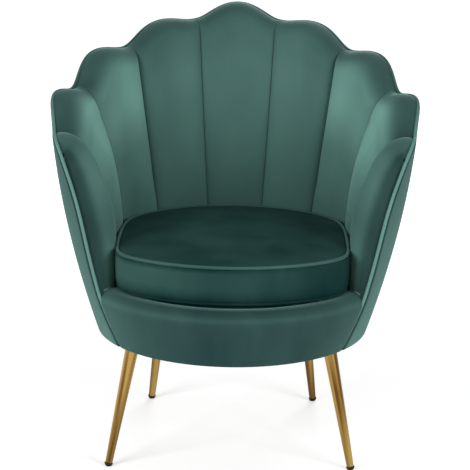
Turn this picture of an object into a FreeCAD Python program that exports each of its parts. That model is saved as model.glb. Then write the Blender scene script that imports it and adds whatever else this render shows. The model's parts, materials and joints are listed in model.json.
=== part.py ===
import FreeCAD, Part
import math
import os

Vector = FreeCAD.Vector

# Scallop back chair, in millimetres. The origin is on the floor under the middle of
# the chair, +Z is up, the seat opens towards -Y and +X is the sitter's left.
# Plan angles are in degrees about the body's upright middle line: 0 is the rear,
# 90 is +X and 180 is the front.

# Body shell: plan sections
BODY_CENTRE_Y = -45.0
BODY_BOTTOM = 243.0
BOTTOM_HALF_WIDTH = 267.0
BOTTOM_REAR_DEPTH = 288.0
BOTTOM_FRONT_DEPTH = 287.0
ARM_TOP_LEVEL = 690.0
ARM_TOP_HALF_WIDTH = 361.0
ARM_TOP_FRONT_DEPTH = 304.0
BACK_TOP_LEVEL = 840.0
BACK_TOP_DEPTH = 385.0
BACK_TOP_SQUARENESS = 1.88
SIDE_FLARE_CURVE = 0.65
REAR_FLARE_CURVE = 0.9

# Scalloped rim: heights of the channel crests and of the notches between them
CREST_HEIGHTS = (840.0, 803.0, 753.0, 690.0)
NOTCH_HEIGHTS = (806.0, 758.0, 694.0, 629.0)
NOTCH_ANGLES_AT_RIM = (14.2, 40.5, 69.0, 95.0)
NOTCH_ANGLES_AT_BOTTOM = (10.5, 31.5, 53.0, 79.0)
NOTCH_SOFTNESS_SHARE = 0.5
PLAN_SCALLOP = 6.0
ARM_NOTCH_SCALLOP_SHARE = 0.3

# Front edge of each arm, as seen from the side
ARM_EDGE_Y = -190.0
ARM_EDGE_FOOT_REACH = 28.0
ARM_EDGE_FOOT_LEVEL = 341.0
ARM_EDGE_TOP_SETBACK = 65.0
ARM_EDGE_BEND_LEVEL = 430.0
ARM_EDGE_TOP = 616.0
ARM_CREST_RISE = 7.0
ARM_CORNER_DROP = 16.0
ARM_CORNER_SHARE = 0.15

# Layers of the wall, from outside to inside
COVER_THICKNESS = 3.0
LAYER_GAP = 1.0
FRAME_DEPTH = 19.2
TOP_RAIL_THICKNESS = 8.8
TOP_RAIL_HEIGHT = 50.0
TOP_RAIL_DROP = 20.0
UPRIGHT_WIDTH = 16.0
UPRIGHT_LAP = 32.0
UPRIGHT_CLEARANCE = 1.2
ARM_POST_INSET = 25.6

# Channel pads: how far a channel stands proud of its seams at each level, how thick the
# whole wall is under the rim, and how the inner face leans between the seat and the rim
SWELL_LEVELS = (330.0, 380.0, 421.0, 500.0, 640.0, 840.0)
CHANNEL_SWELL = (3.0, 8.0, 12.0, 22.0, 24.0, 22.0)
RIM_WALL = 66.0
BACK_LEAN_CURVE = 1.1
ARM_LEAN_CURVE = 2.2
PAD_SIDE_GAP_SHARE = 0.01
CREST_ROUND_HEIGHT = 30.0
CREST_MIDDLE_DEPTH = 20.0
CREST_WRAP_ANGLE = 118.0
PAD_HOOK_HEIGHT = 40.0
PAD_EDGE_DEPTH = 7.6
PAD_EDGE_DROP = 8.0
PAD_EDGE_THICKNESS = 2.0
ARM_FRONT_ROUND_SHARE = 0.28
ARM_FRONT_TURNS = (20, 42, 62, 80)
ARM_TURN_IN_SHARE = 0.6

# Welt along the rim and down the arm fronts
WELT_RADIUS = 3.2
WELT_DEPTH = 4.0
WELT_GAP = 1.1
WELT_FLAT_ANGLE = 8.0

# Seat frame
FRAME_PLATE = 18.0
BASE_RING_WIDTH = 66.0
WELT_GROOVE_WIDTH = 34.0
FRAME_UNDERSIDE = 245.0
SEAT_RING_TOP = 330.0
SEAT_RING_WIDTH = 56.0
BLOCK_WIDTH = 44.0
BLOCK_DEPTH = 26.0
BLOCK_GAP = 3.0
BLOCK_ANGLES = (22.0, 66.0, 110.0, 158.0)
STRAP_WIDTH = 50.0
STRAP_THICKNESS = 1.5
STRAP_SPACING = 105.0
STRAPS_EACH_WAY = 3
STRAP_LANDING = 14.0
DECK_THICKNESS = 10.0
DECK_MARGIN = 14.0
DUST_COVER_THICKNESS = 1.0
DUST_COVER_MARGIN = 6.0

# Front rail
RAIL_TOP = 343.5
RAIL_ROUND = 30.0
RAIL_TOP_DEPTH = 56.0
RAIL_TOP_FALL = 3.5
RAIL_BOARD_THICKNESS = 11.6
RAIL_END_GAP = 8.6

# Loose seat cushion: a round cushion held in at both sides by the arms
CUSHION_BOTTOM = 345.0
CUSHION_HEIGHT = 76.0
CUSHION_CROWN = 13.0
CUSHION_ROUND_HALF_WIDTH = 262.0
CUSHION_REAR_DEPTH = 278.0
CUSHION_FRONT_DEPTH = 241.0
CUSHION_SIDE_REACH = 233.0
CUSHION_SIDE_SHARPNESS = 14.0
CUSHION_SIDE_GAP = 2.2
CUSHION_TOP_DRAW_IN = 3.8
CUSHION_BOTTOM_DRAW_IN = 10.0
CUSHION_WALL = 22.0
CUSHION_WELT_RADIUS = 3.0
CUSHION_CLEARANCE = 0.3
PLAN_POINTS = 40

# Legs
LEG_FEET = ((235.0, -214.0), (174.0, 187.0))
LEG_LEAN = (0.241, 0.190)
LEG_TOP_RADIUS = 13.5
LEG_FOOT_RADIUS = 7.0
LEG_WALL = 1.2
PLATE_SIZE = 48.0
PLATE_THICKNESS = 3.0
PLATE_CORNER = 8.0
PLATE_HOLE_SPACING = 34.0
SCREW_RADIUS = 1.8
SCREW_HOLE_RADIUS = 2.1
SCREW_HEAD_RADIUS = 3.8
SCREW_HEAD_HEIGHT = 1.8
SCREW_LENGTH = 14.0
GLIDE_HEIGHT = 7.0
GLIDE_PLUG_LENGTH = 14.0
GLIDE_FIT = 0.15

SIDES = (("right", -1), ("left", 1))


# Curves of the body

def blend(first, last, share):
    return first + (last - first) * share


def along(levels, values, z):
    """Value at height z, joined smoothly between the given levels."""
    if z <= levels[0]:
        return values[0]
    for i in range(len(levels) - 1):
        if z <= levels[i + 1]:
            share = (z - levels[i]) / (levels[i + 1] - levels[i])
            return blend(values[i], values[i + 1], share * share * (3 - 2 * share))
    return values[-1]


def flare(share, curve):
    """Outward growth of the body, quick near the seat and slow near the rim."""
    return share * (1 + curve * (1 - share))


def body_radius(angle, z):
    """Distance from the middle line to the outer face of the body."""
    side = flare((z - BODY_BOTTOM) / (ARM_TOP_LEVEL - BODY_BOTTOM), SIDE_FLARE_CURVE)
    rear_share = (z - BODY_BOTTOM) / (BACK_TOP_LEVEL - BODY_BOTTOM)
    rear = flare(rear_share, REAR_FLARE_CURVE)
    half_width = blend(BOTTOM_HALF_WIDTH, ARM_TOP_HALF_WIDTH, side)
    sine = abs(math.sin(math.radians(angle)))
    cosine = math.cos(math.radians(angle))
    if cosine >= 0:
        depth = blend(BOTTOM_REAR_DEPTH, BACK_TOP_DEPTH, rear)
        power = blend(2.0, BACK_TOP_SQUARENESS, rear_share)
    else:
        depth = blend(BOTTOM_FRONT_DEPTH, ARM_TOP_FRONT_DEPTH, side)
        power = 2.0
    return ((sine / half_width) ** power + (abs(cosine) / depth) ** power) ** (-1 / power)


def plan_point(angle, radius, z):
    turn = math.radians(angle)
    return Vector(radius * math.sin(turn), BODY_CENTRE_Y + radius * math.cos(turn), z)


def notch_value(values, u):
    """Value on the line through the notches, at channel coordinate u."""
    line = (-values[0],) + tuple(values)
    place = min(max(abs(u) + 0.5, 0.0), len(line) - 1.0)
    i = min(int(place), len(line) - 2)
    return math.copysign(1, u) * blend(line[i], line[i + 1], place - i)


def scallop(u):
    """0 in a notch and 1 on a crest, with a softened notch."""
    wave = abs(math.cos(math.pi * u))
    soft = NOTCH_SOFTNESS_SHARE
    return (math.hypot(wave, soft) - soft) / (math.hypot(1, soft) - soft)


def crest_z(u):
    """Height of the rim. Channels are one unit wide and the middle one is at u = 0."""
    u = abs(u)
    if u <= 0.5:
        low = NOTCH_HEIGHTS[0]
        return low + (CREST_HEIGHTS[0] - low) * scallop(u)
    if u <= 3.5:
        channel = min(int(u + 0.5), 3)
        before = NOTCH_HEIGHTS[channel - 1]
        after = NOTCH_HEIGHTS[channel]
        line = blend(before, after, u - channel + 0.5)
        return line + (CREST_HEIGHTS[channel] - (before + after) / 2) * scallop(u)
    share = u - 3.5
    line = blend(NOTCH_HEIGHTS[3], ARM_EDGE_TOP, share)
    corner = max(share - 1 + ARM_CORNER_SHARE, 0.0) / ARM_CORNER_SHARE
    return line + ARM_CREST_RISE * math.sin(math.pi * share) - ARM_CORNER_DROP * corner * corner


def arm_edge_angle(z):
    """Plan angle of the arm's front edge at height z."""
    z = min(z, ARM_EDGE_TOP)
    y = ARM_EDGE_Y
    if z < ARM_EDGE_FOOT_LEVEL:
        low = (ARM_EDGE_FOOT_LEVEL - z) / (ARM_EDGE_FOOT_LEVEL - BODY_BOTTOM)
        y -= ARM_EDGE_FOOT_REACH * low ** 1.5
    if z > ARM_EDGE_BEND_LEVEL:
        high = (z - ARM_EDGE_BEND_LEVEL) / (ARM_EDGE_TOP - ARM_EDGE_BEND_LEVEL)
        y += ARM_EDGE_TOP_SETBACK * high ** 3
    reach = BODY_CENTRE_Y - y
    angle = 120.0
    for _ in range(12):
        cosine = reach / body_radius(angle, z)
        angle = 180 - math.degrees(math.acos(min(cosine, 1.0)))
    return angle


def line_angle(u, z):
    """Plan angle of channel line u at height z. Seams are at odd halves."""
    if abs(u) <= 3.5:
        share = (z - BODY_BOTTOM) / (crest_z(u) - BODY_BOTTOM)
        bottom = notch_value(NOTCH_ANGLES_AT_BOTTOM, u)
        top = notch_value(NOTCH_ANGLES_AT_RIM, u)
        return blend(bottom, top, share)
    last_seam = line_angle(3.5, z)
    angle = blend(last_seam, arm_edge_angle(z), abs(u) - 3.5)
    return math.copysign(angle, u)


def plan_scallop(u):
    """1 on a crest and -1 in a notch, fading out along the arm."""
    if u <= 3:
        return math.cos(2 * math.pi * u)
    if u <= 3.5:
        return math.cos(2 * math.pi * u) * blend(1, ARM_NOTCH_SCALLOP_SHARE, 2 * (u - 3))
    return -ARM_NOTCH_SCALLOP_SHARE * (4.5 - u)


def wall_point(u, z, depth):
    """Point of the wall at channel coordinate u and height z, depth mm inside the outer face."""
    angle = line_angle(u, z)
    share = (z - BODY_BOTTOM) / (crest_z(u) - BODY_BOTTOM)
    swell = PLAN_SCALLOP * plan_scallop(abs(u)) * max(share, 0.0) ** 4
    return plan_point(angle, body_radius(angle, z) + swell - depth, z)


# Solid builders

def grid_surface(rows):
    surface = Part.BSplineSurface()
    surface.interpolate(rows)
    return surface


def slab(outer_rows, inner_rows):
    """Solid between two point grids of the same layout, closed by ruled sides."""
    outer = grid_surface(outer_rows)
    inner = grid_surface(inner_rows)
    faces = [outer.toShape(), inner.toShape()]
    u0, u1, v0, v1 = outer.bounds()
    s0, s1, t0, t1 = inner.bounds()
    pairs = ((outer.uIso(u0), inner.uIso(s0)), (outer.uIso(u1), inner.uIso(s1)),
             (outer.vIso(v0), inner.vIso(t0)), (outer.vIso(v1), inner.vIso(t1)))
    for first, second in pairs:
        faces.append(Part.makeRuledSurface(first.toShape(), second.toShape(), 1))
    return sewn_solid(faces)


def sewn_solid(faces):
    shell = Part.makeShell(faces)
    shell.sewShape()
    solid = Part.Solid(Part.Shell(shell.Faces))
    if solid.Volume < 0:
        solid.reverse()
    return solid


def spread(first, last, count):
    return [blend(first, last, i / (count - 1)) for i in range(count)]


def ellipse_plate(half_width, depth, z, height):
    """Elliptical plate about the middle line."""
    middle = Vector(0, BODY_CENTRE_Y, z)
    edge = Part.Ellipse(middle, max(half_width, depth), min(half_width, depth)).toShape()
    if depth > half_width:
        edge.rotate(middle, Vector(0, 0, 1), 90)
    return Part.Face(Part.Wire(edge)).extrude(Vector(0, 0, height))


def section_axes(z, inset):
    return body_radius(90, z) - inset, min(body_radius(0, z), body_radius(180, z)) - inset


# Wall pieces

def frame_inner_depth():
    return COVER_THICKNESS + LAYER_GAP + FRAME_DEPTH


def pad_back_depth():
    return frame_inner_depth() + LAYER_GAP


def swell_share(u):
    """0 on the channel's seams and 1 where it stands proudest."""
    if abs(u) <= 3.5:
        return abs(math.cos(math.pi * u))
    return math.sin(math.pi * min(abs(u) - 3.5, 0.5))


def front_share(u):
    """1 over the arm's inner face, falling to 0 round the arm's front edge."""
    past = (abs(u) - 4.5 + ARM_FRONT_ROUND_SHARE) / ARM_FRONT_ROUND_SHARE
    if past <= 0:
        return 1.0
    return math.sqrt(max(1 - past * past, 0.0))


def wall_depth(u, z):
    """Depth of the pads' face. It hugs the cushion and leans outwards above it."""
    angle = line_angle(u, z)
    shoulder = crest_z(u) - CREST_ROUND_HEIGHT
    top_edge = CUSHION_BOTTOM + CUSHION_HEIGHT
    share = min(max((z - top_edge) / (shoulder - top_edge), 0.0), 1.0)
    lean = blend(BACK_LEAN_CURVE, ARM_LEAN_CURVE, math.sin(math.radians(angle)) ** 2)
    seat = cushion_radius(angle, 0) + CUSHION_SIDE_GAP
    rim = body_radius(angle, shoulder) - RIM_WALL
    recess = along(SWELL_LEVELS, CHANNEL_SWELL, z) * (1 - swell_share(u))
    full = body_radius(angle, z) - blend(seat, rim, share ** lean) - recess
    return blend(PAD_EDGE_DEPTH + PAD_EDGE_THICKNESS, full, front_share(u))


def pad_face_column(u):
    """Inner face of a pad from the seat up, over the crest and down to the welt."""
    crest = crest_z(u)
    shoulder = crest - CREST_ROUND_HEIGHT
    column = [wall_point(u, z, wall_depth(u, z)) for z in spread(SEAT_RING_TOP, shoulder, 9)]
    thick = wall_depth(u, shoulder)
    middle = min(CREST_MIDDLE_DEPTH, (thick + PAD_EDGE_DEPTH) / 2)
    for turn in spread(0, math.radians(CREST_WRAP_ANGLE), 7)[1:]:
        z = shoulder + CREST_ROUND_HEIGHT * math.sin(turn)
        depth = middle + (thick - middle) * math.cos(turn)
        column.append(wall_point(u, z, max(depth, PAD_EDGE_DEPTH)))
    return column


def pad_back_column(u):
    """Back face of a pad: flat on the frame, then hooked over the top rail and the arm's post."""
    crest = crest_z(u)
    hook = crest - PAD_HOOK_HEIGHT
    past = (abs(u) - 4.5 + ARM_FRONT_ROUND_SHARE) / ARM_FRONT_ROUND_SHARE
    turned_in = along((ARM_TURN_IN_SHARE, 1.0), (0.0, 1.0), past)
    back = blend(pad_back_depth(), PAD_EDGE_DEPTH, turned_in)
    column = [wall_point(u, z, back) for z in spread(SEAT_RING_TOP, hook, 9)]
    for share in spread(0, 1, 7)[1:]:
        z = blend(hook, crest - PAD_EDGE_DROP, share)
        depth = blend(PAD_EDGE_DEPTH, back, math.cos(share * math.pi / 2))
        column.append(wall_point(u, z, depth))
    return column


def channel_pad(channel):
    if abs(channel) < 4:
        places = spread(channel - 0.5 + PAD_SIDE_GAP_SHARE, channel + 0.5 - PAD_SIDE_GAP_SHARE, 9)
    else:
        side = math.copysign(1, channel)
        start = 1 - ARM_FRONT_ROUND_SHARE
        inner = spread(PAD_SIDE_GAP_SHARE, start, 6)
        round_part = [start + ARM_FRONT_ROUND_SHARE * math.sin(math.radians(a)) for a in ARM_FRONT_TURNS]
        places = [side * (3.5 + share) for share in inner + round_part]
    face = [pad_face_column(u) for u in places]
    back = [pad_back_column(u) for u in places]
    return slab(back, face)


def top_rail(channel):
    """Bent strip under the crest of one channel."""
    if abs(channel) < 4:
        places = spread(channel - 0.5 + PAD_SIDE_GAP_SHARE, channel + 0.5 - PAD_SIDE_GAP_SHARE, 9)
    else:
        side = math.copysign(1, channel)
        places = [side * (3.5 + share) for share in spread(PAD_SIDE_GAP_SHARE, 1 - ARM_FRONT_ROUND_SHARE, 5)]
    outer_depth = COVER_THICKNESS + LAYER_GAP
    outer = []
    inner = []
    for u in places:
        top = crest_z(u) - TOP_RAIL_DROP
        levels = spread(top - TOP_RAIL_HEIGHT, top, 4)
        outer.append([wall_point(u, z, outer_depth) for z in levels])
        inner.append([wall_point(u, z, outer_depth + TOP_RAIL_THICKNESS) for z in levels])
    return slab(outer, inner)


def channel_width(u, z):
    """Length along the wall of one unit of u."""
    step = 0.05
    return (wall_point(u + step, z, 0) - wall_point(u - step, z, 0)).Length / (2 * step)


def upright_section(u, inset, z, outer_depth, inner_depth):
    """Four-sided section across the wall at height z, inset mm from line u towards the back."""
    half = UPRIGHT_WIDTH / 2 / channel_width(u, z)
    middle = u - math.copysign(inset, u) / channel_width(u, z)
    corners = [wall_point(middle + side * half, z, depth)
               for side, depth in ((-1, outer_depth), (1, outer_depth), (1, inner_depth), (-1, inner_depth))]
    return Part.makePolygon(corners + corners[:1])


def upright(u, inset, notch_height):
    """Curved upright on the base ring, with a thinner tongue that laps the top rail."""
    outer_depth = COVER_THICKNESS + LAYER_GAP + UPRIGHT_CLEARANCE
    inner_depth = frame_inner_depth() - UPRIGHT_CLEARANCE
    lap_depth = outer_depth + TOP_RAIL_THICKNESS + LAYER_GAP
    shoulder = notch_height - TOP_RAIL_DROP - TOP_RAIL_HEIGHT - 2 * LAYER_GAP
    bottom = FRAME_UNDERSIDE + FRAME_PLATE
    body = [upright_section(u, inset, z, outer_depth, inner_depth) for z in spread(bottom, shoulder, 6)]
    tongue = [upright_section(u, inset, z, lap_depth, inner_depth)
              for z in spread(shoulder, shoulder + UPRIGHT_LAP, 3)]
    return Part.makeLoft(body, True).fuse(Part.makeLoft(tongue, True))


def cover_places():
    """Channel coordinates of the cover's columns, closer together at the arms' notches and corners."""
    half = sorted([i / 8 for i in range(36)] + [3.44, 3.56, 4.44, 4.5])
    return [-u for u in reversed(half[1:])] + half


def cover_top(u):
    return crest_z(u) - 2 * WELT_RADIUS - WELT_GAP


def outer_cover():
    outer = []
    inner = []
    for u in cover_places():
        levels = spread(BODY_BOTTOM, cover_top(u), 13)
        outer.append([wall_point(u, z, 0) for z in levels])
        inner.append([wall_point(u, z, COVER_THICKNESS) for z in levels])
    return slab(outer, inner)


def welt_path():
    """Middle line of the welt, just outside the cover's free edge, from foot to foot."""
    levels = spread(BODY_BOTTOM + WELT_RADIUS, cover_top(4.5) - 2 * WELT_RADIUS, 13)
    border = [wall_point(-4.5, z, WELT_DEPTH) for z in levels]
    border += [wall_point(u, cover_top(u), WELT_DEPTH) for u in cover_places()]
    border += [wall_point(4.5, z, WELT_DEPTH) for z in reversed(levels)]
    path = []
    for i, p in enumerate(border):
        run = border[min(i + 1, len(border) - 1)] - border[max(i - 1, 0)]
        outward = run.cross(Vector(p.x, p.y - BODY_CENTRE_Y, 0))
        outward.normalize()
        path.append(p + outward * (WELT_RADIUS + WELT_GAP))
    return path


def round_tube(path, radius):
    """Tube through the path's points, made of two half shells that meet in narrow flats."""
    outer = []
    inner = []
    for i, p in enumerate(path):
        run = path[min(i + 1, len(path) - 1)] - path[max(i - 1, 0)]
        run.normalize()
        across = run.cross(Vector(p.x, p.y - BODY_CENTRE_Y, 0))
        across.normalize()
        outward = across.cross(run)
        turns = [math.radians(turn) for turn in spread(WELT_FLAT_ANGLE, 180 - WELT_FLAT_ANGLE, 5)]
        outer.append([p + across * (radius * math.cos(t)) + outward * (radius * math.sin(t)) for t in turns])
        inner.append([p + across * (radius * math.cos(t)) - outward * (radius * math.sin(t)) for t in turns])
    return slab(outer, inner)


# Seat frame and front rail

def ring_plate(z, width, inset):
    outer_x, outer_y = section_axes(z, inset)
    whole = ellipse_plate(outer_x, outer_y, z, FRAME_PLATE)
    hole = ellipse_plate(outer_x - width, outer_y - width, z, FRAME_PLATE)
    return whole.cut(hole)


def leg_top(foot, lean):
    """Point where the leg's axis meets its plate."""
    run = math.hypot(foot[0], foot[1] - BODY_CENTRE_Y)
    height = FRAME_UNDERSIDE - PLATE_THICKNESS
    share = 1 - lean * height / run
    return Vector(foot[0] * share, BODY_CENTRE_Y + (foot[1] - BODY_CENTRE_Y) * share, height)


def leg_places():
    """Name, foot and top of each leg."""
    places = []
    for (end, foot, lean) in (("front", LEG_FEET[0], LEG_LEAN[0]), ("rear", LEG_FEET[1], LEG_LEAN[1])):
        for side, sign in SIDES:
            top = leg_top(foot, lean)
            places.append((end + "_" + side, Vector(sign * foot[0], foot[1], 0),
                           Vector(sign * top.x, top.y, top.z)))
    return places


def screw_points(top):
    half = PLATE_HOLE_SPACING / 2
    return [Vector(top.x + sx * half, top.y + sy * half, top.z) for sx in (-1, 1) for sy in (-1, 1)]


def base_ring():
    """Plywood ring that the legs screw to, grooved at the front where the welts run down."""
    ring = ring_plate(FRAME_UNDERSIDE, BASE_RING_WIDTH, COVER_THICKNESS + LAYER_GAP)
    reach = WELT_DEPTH + WELT_RADIUS + LAYER_GAP
    for p in (welt_path()[0], welt_path()[-1]):
        groove = Part.makeBox(WELT_GROOVE_WIDTH, 2 * reach, 2 * FRAME_PLATE,
                              Vector(-WELT_GROOVE_WIDTH / 2, -reach, 0))
        angle = math.degrees(math.atan2(p.x, p.y - BODY_CENTRE_Y))
        groove.rotate(Vector(0, 0, 0), Vector(0, 0, 1), -angle)
        groove.translate(plan_point(angle, body_radius(angle, FRAME_UNDERSIDE), FRAME_UNDERSIDE))
        ring = ring.cut(groove)
    for _, _, top in leg_places():
        for p in screw_points(top):
            ring = ring.cut(Part.makeCylinder(SCREW_RADIUS, SCREW_LENGTH + 1, p))
    return ring


def seat_ring():
    return ring_plate(SEAT_RING_TOP - FRAME_PLATE, SEAT_RING_WIDTH, pad_back_depth())


def frame_blocks():
    """Glue blocks that carry the seat ring on the base ring."""
    bottom = FRAME_UNDERSIDE + FRAME_PLATE
    height = SEAT_RING_TOP - FRAME_PLATE - bottom
    blocks = []
    for angle in BLOCK_ANGLES:
        for sign in (-1, 1):
            inset = pad_back_depth() + BLOCK_GAP
            radius = body_radius(angle, bottom) - inset - BLOCK_DEPTH / 2
            block = Part.makeBox(BLOCK_WIDTH, BLOCK_DEPTH, height,
                                 Vector(-BLOCK_WIDTH / 2, -BLOCK_DEPTH / 2, 0))
            block.rotate(Vector(0, 0, 0), Vector(0, 0, 1), -sign * angle)
            block.translate(plan_point(sign * angle, radius, bottom))
            blocks.append(block)
    return Part.makeCompound(blocks)


def rail_point(across, z, depth, gap):
    """Point of the front rail: across runs from -1 at one arm to 1 at the other."""
    edge = arm_edge_angle(min(z, RAIL_TOP)) + math.degrees(gap / body_radius(120, z))
    half = 180 - edge
    angle = 180 - across * half
    return plan_point(angle, body_radius(angle, z) - depth, z)


def rail_turn(inset, turn):
    """Height and depth on the rail's rounded top edge, inset mm under its outside."""
    top = RAIL_TOP - inset
    z = top - RAIL_ROUND * (1 - math.sin(math.radians(turn)))
    return z, inset + RAIL_ROUND * (1 - math.cos(math.radians(turn)))


def rail_front(inset, bottom, turns):
    """The rail's front, from its bottom edge into the rounded top."""
    shoulder = RAIL_TOP - inset - RAIL_ROUND
    return [(z, inset) for z in spread(bottom, shoulder, 4)] + [rail_turn(inset, turn) for turn in turns]


def rail_deck(inset):
    """The rail's top, falling a little towards the seat deck."""
    top = RAIL_TOP - inset
    half_way = blend(RAIL_ROUND, RAIL_TOP_DEPTH, 0.5)
    return [(top - RAIL_TOP_FALL / 3, half_way), (top - RAIL_TOP_FALL, RAIL_TOP_DEPTH)]


def rail_layer(outer_profile, inner_profile, gap):
    places = spread(-1, 1, 15)
    outer = [[rail_point(a, z, depth, gap) for z, depth in outer_profile] for a in places]
    inner = [[rail_point(a, z, depth, gap) for z, depth in inner_profile] for a in places]
    return slab(outer, inner)


def front_rail_cover():
    turns = (30, 60, 90)
    outer = rail_front(0, BODY_BOTTOM, turns)
    inner = rail_front(COVER_THICKNESS, BODY_BOTTOM, turns)
    return rail_layer(outer, inner, RAIL_END_GAP)


def front_rail_deck_cloth():
    """Cloth on the rail's top, from the rounded edge back to the seat deck."""
    seam = COVER_THICKNESS + RAIL_ROUND + LAYER_GAP
    outer = [(RAIL_TOP, seam)] + rail_deck(0)
    inner = [(z - COVER_THICKNESS, depth) for z, depth in outer]
    return rail_layer(outer, inner, RAIL_END_GAP)


def front_rail_foam():
    """Foam on the front of the bent board."""
    bottom = FRAME_UNDERSIDE + FRAME_PLATE
    outer = rail_front(COVER_THICKNESS + LAYER_GAP, bottom, (12, 24, 36))
    board_front = frame_inner_depth() - RAIL_BOARD_THICKNESS
    inner = [(z, board_front - LAYER_GAP) for z, _ in outer]
    return rail_layer(outer, inner, RAIL_END_GAP + COVER_THICKNESS)


def front_rail_roll():
    """Foam roll that lies on the seat ring behind the rail's rounded top edge."""
    skin = COVER_THICKNESS + LAYER_GAP
    outer = [rail_turn(skin, turn) for turn in (48, 60, 75, 90)] + rail_deck(skin)
    start = outer[0][1] + 3
    inner = [(SEAT_RING_TOP, depth) for depth in spread(start, RAIL_TOP_DEPTH, len(outer))]
    return rail_layer(outer, inner, RAIL_END_GAP)


def front_rail_board():
    """Bent board that closes the front of the seat frame."""
    inner_depth = frame_inner_depth()
    outer_depth = inner_depth - RAIL_BOARD_THICKNESS
    bottom = FRAME_UNDERSIDE + FRAME_PLATE
    levels = spread(bottom, SEAT_RING_TOP - 8, 4)
    gap = UPRIGHT_WIDTH + RAIL_END_GAP
    outer = [(z, outer_depth) for z in levels]
    inner = [(z, inner_depth) for z in levels]
    return rail_layer(outer, inner, gap)


# Seat deck

def strap(length, width, z, across):
    box = Part.makeBox(width, length, STRAP_THICKNESS, Vector(-width / 2, -length / 2, z))
    if across:
        box.rotate(Vector(0, 0, 0), Vector(0, 0, 1), 90)
    return box


def seat_straps(across):
    ring_x, ring_y = section_axes(SEAT_RING_TOP - FRAME_PLATE, pad_back_depth() + SEAT_RING_WIDTH)
    z = SEAT_RING_TOP + (STRAP_THICKNESS if across else 0)
    straps = []
    for i in range(STRAPS_EACH_WAY):
        offset = (i - (STRAPS_EACH_WAY - 1) / 2) * STRAP_SPACING
        if across:
            reach = ring_x * math.sqrt(1 - (offset / ring_y) ** 2)
            place = Vector(0, BODY_CENTRE_Y + offset, 0)
        else:
            reach = ring_y * math.sqrt(1 - (offset / ring_x) ** 2)
            place = Vector(offset, BODY_CENTRE_Y, 0)
        piece = strap(2 * (reach + STRAP_LANDING), STRAP_WIDTH, z, across)
        piece.translate(place)
        straps.append(piece)
    return Part.makeCompound(straps)


def cushion_radius(angle, inset):
    """Plan radius of the cushion, drawn in by inset."""
    sine = abs(math.sin(math.radians(angle)))
    cosine = math.cos(math.radians(angle))
    depth = CUSHION_REAR_DEPTH if cosine >= 0 else CUSHION_FRONT_DEPTH
    round_radius = 1 / math.hypot(sine / (CUSHION_ROUND_HALF_WIDTH - inset), cosine / (depth - inset))
    side_radius = (CUSHION_SIDE_REACH - inset) / max(sine, 0.1)
    sharp = CUSHION_SIDE_SHARPNESS
    return (round_radius ** -sharp + side_radius ** -sharp) ** (-1 / sharp)


def closed_plan(radius_at, z):
    """Closed outline whose radius is a function of the plan angle."""
    turns = [360 * i / PLAN_POINTS for i in range(PLAN_POINTS)]
    curve = Part.BSplineCurve()
    curve.interpolate([plan_point(turn, radius_at(turn), z) for turn in turns], True)
    return Part.Wire(curve.toShape())


def cushion_plan(inset, z):
    """Closed outline of the cushion, drawn in by inset."""
    return closed_plan(lambda turn: cushion_radius(turn, inset), z)


def deck_radius(angle):
    """Plan radius of the deck pad, inside the cushion's outline and behind the front rail's cloth."""
    behind_rail = body_radius(angle, SEAT_RING_TOP) - RAIL_TOP_DEPTH - LAYER_GAP
    return min(cushion_radius(angle, DECK_MARGIN), behind_rail)


def seat_deck_pad():
    bottom = SEAT_RING_TOP + 2 * STRAP_THICKNESS
    return Part.Face(closed_plan(deck_radius, bottom)).extrude(Vector(0, 0, DECK_THICKNESS))


def dust_cover():
    outer_x, outer_y = section_axes(FRAME_UNDERSIDE, COVER_THICKNESS + LAYER_GAP + DUST_COVER_MARGIN)
    z = FRAME_UNDERSIDE - DUST_COVER_THICKNESS
    sheet = ellipse_plate(outer_x, outer_y, z, DUST_COVER_THICKNESS)
    half = PLATE_SIZE / 2 + 1
    for _, _, top in leg_places():
        window = Part.makeBox(2 * half, 2 * half, 4, Vector(top.x - half, top.y - half, z - 2))
        sheet = sheet.cut(window)
    return sheet


# Seat cushion

def cushion_cover():
    bottom = CUSHION_BOTTOM
    top = bottom + CUSHION_HEIGHT
    neck = CUSHION_WELT_RADIUS * 2
    low = CUSHION_BOTTOM_DRAW_IN + CUSHION_WELT_RADIUS + WELT_GAP
    high = CUSHION_TOP_DRAW_IN + CUSHION_WELT_RADIUS + WELT_GAP
    levels = ((bottom, low), (bottom + neck, low), (blend(bottom, top, 0.3), 2.2), (blend(bottom, top, 0.55), 0),
              (blend(bottom, top, 0.75), 1.2), (top - neck, high), (top - 1, high))
    boxing = Part.makeLoft([cushion_plan(inset, z) for z, inset in levels], True)
    crown_levels = [(top - 1, high)]
    for share in (0.12, 0.35, 0.65, 0.95):
        inset = high + share * (CUSHION_SIDE_REACH - 30)
        rise = CUSHION_CROWN * math.sin(share * math.pi / 2) ** 0.8
        crown_levels.append((top - 1 + rise, inset))
    crown = Part.makeLoft([cushion_plan(inset, z) for z, inset in crown_levels], True)
    return boxing.fuse(crown).cut(cushion_cavity(0))


def cushion_cavity(clear):
    bottom = CUSHION_BOTTOM + 6 + clear
    height = CUSHION_HEIGHT - 12 - 2 * clear
    outline = cushion_plan(CUSHION_WALL + clear, bottom)
    return Part.Face(outline).extrude(Vector(0, 0, height))


def cushion_welt(draw_in, z):
    """Half-round bead sewn along the cushion's edge, flat where it meets the cover."""
    sections = []
    for turn in (-90, -50, 0, 50, 90):
        out = CUSHION_WELT_RADIUS * math.cos(math.radians(turn))
        rise = CUSHION_WELT_RADIUS * math.sin(math.radians(turn))
        sections.append(cushion_plan(draw_in - out, z + rise))
    hole = cushion_plan(draw_in + CUSHION_WELT_RADIUS, z - 2 * CUSHION_WELT_RADIUS)
    inside = Part.Face(hole).extrude(Vector(0, 0, 4 * CUSHION_WELT_RADIUS))
    return Part.makeLoft(sections, True).cut(inside)


# Legs

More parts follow.
